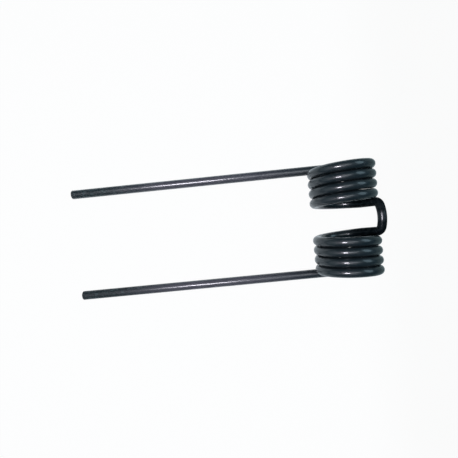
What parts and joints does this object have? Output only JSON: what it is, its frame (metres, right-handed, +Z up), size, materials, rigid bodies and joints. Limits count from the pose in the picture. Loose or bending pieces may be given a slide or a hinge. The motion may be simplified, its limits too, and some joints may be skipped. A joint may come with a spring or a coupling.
{
  "type": "torsion spring",
  "caption": "Double torsion spring of black painted round wire: a pair of close-wound coils joined by a bowed bridge, each ending in a long straight leg.",
  "frame": {"origin": "on the axis of the coils, midway between them", "axes": "+X from the coils towards the bridge, with the legs running to -X; +Y along the axis of the coils; +Z up, away from the surface that the legs and the backs of the coils lie on"},
  "size_m": [0.1924, 0.0702, 0.0392],
  "materials": {
    "black_paint": "gloss black paint on round spring steel wire"
  },
  "bodies": {
    "root": {"torsion_spring": "black_paint"}
  },
  "joints": []
}
